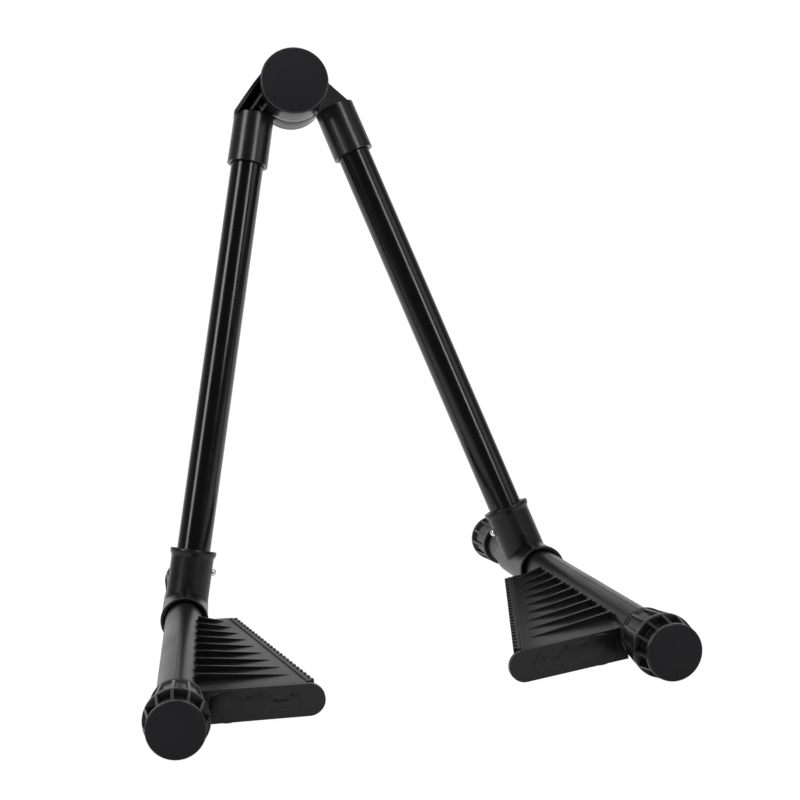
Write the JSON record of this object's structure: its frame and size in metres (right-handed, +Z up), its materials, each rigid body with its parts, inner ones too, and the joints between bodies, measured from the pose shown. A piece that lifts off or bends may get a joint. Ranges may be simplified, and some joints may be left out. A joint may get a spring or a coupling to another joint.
{
  "type": "folding guitar stand",
  "caption": "Small folding A-frame guitar stand: two tube legs on a capped top hinge, foot tubes with ribbed end caps, and turning finned wings with rubber comb strips that cradle the body.",
  "frame": {"origin": "centre of the bounding box at floor height, between the four end caps", "axes": "+Z up, -Y towards the front, where the guitar rests on the wings, +X to the right seen from the front"},
  "size_m": [0.2512, 0.2722, 0.3227],
  "materials": {
    "moulding": "satin black moulded plastic",
    "leg_tube": "gloss black coated steel tube",
    "cap": "fine matte black moulded plastic",
    "rubber": "soft black rubber",
    "steel": "plain zinc-plated steel",
    "button": "bright plated steel",
    "friction_washer": "natural nylon"
  },
  "bodies": {
    "left_leg": {"left_hinge_arm": "moulding", "left_leg_tube": "leg_tube", "left_foot_connector": "moulding", "left_button_spring": "steel", "left_foot_core_tube": "leg_tube", "left_rear_sleeve": "moulding", "left_front_end_cap": "cap", "left_rear_end_cap": "cap", "hinge_bolt": "steel", "hinge_nut": "steel", "hinge_front_washer": "steel", "hinge_rear_washer": "steel", "hinge_front_cap": "cap", "hinge_friction_washer": "friction_washer"},
    "right_leg": {"right_hinge_arm": "moulding", "right_leg_tube": "leg_tube", "right_foot_connector": "moulding", "right_button_spring": "steel", "right_foot_core_tube": "leg_tube", "right_rear_sleeve": "moulding", "right_front_end_cap": "cap", "right_rear_end_cap": "cap", "hinge_rear_cap": "cap"},
    "left_wing_body": {"left_wing": "moulding", "left_wing_pad": "rubber"},
    "right_wing_body": {"right_wing": "moulding", "right_wing_pad": "rubber"},
    "left_button_body": {"left_snap_button": "button"},
    "right_button_body": {"right_snap_button": "button"}
  },
  "joints": [
    {"name": "leg_fold", "type": "hinge", "parent": "left_leg", "child": "right_leg", "pos_m": [0, 0.11889, 0.29863], "axis": [0, 0.9752, -0.2213], "range_deg": [0, 30.5]},
    {"name": "left_wing_fold", "type": "hinge", "parent": "left_leg", "child": "left_wing_body", "pos_m": [-0.10011, 0.05433, 0.01412], "axis": [-0.0589, -0.9983, 0.0049], "range_deg": [0, 95]},
    {"name": "right_wing_fold", "type": "hinge", "parent": "right_leg", "child": "right_wing_body", "pos_m": [0.10011, 0.05433, 0.01412], "axis": [-0.0589, 0.9983, -0.0049], "range_deg": [0, 95]},
    {"name": "left_button", "type": "slide", "parent": "left_leg", "child": "left_button_body", "axis": [-0.9648, 0.0582, 0.2565], "range_m": [0, 0.005], "stiffness_N_per_m": 600, "springref_m": -0.002, "deforming": ["left_button_spring"]},
    {"name": "right_button", "type": "slide", "parent": "right_leg", "child": "right_button_body", "axis": [0.9648, 0.0582, 0.2565], "range_m": [0, 0.005], "stiffness_N_per_m": 600, "springref_m": -0.002, "deforming": ["right_button_spring"]}
  ],
  "couplings": [
    {"joint": "left_wing_fold", "follows": "leg_fold", "ratio": 3.1},
    {"joint": "right_wing_fold", "follows": "leg_fold", "ratio": 3.1}
  ]
}
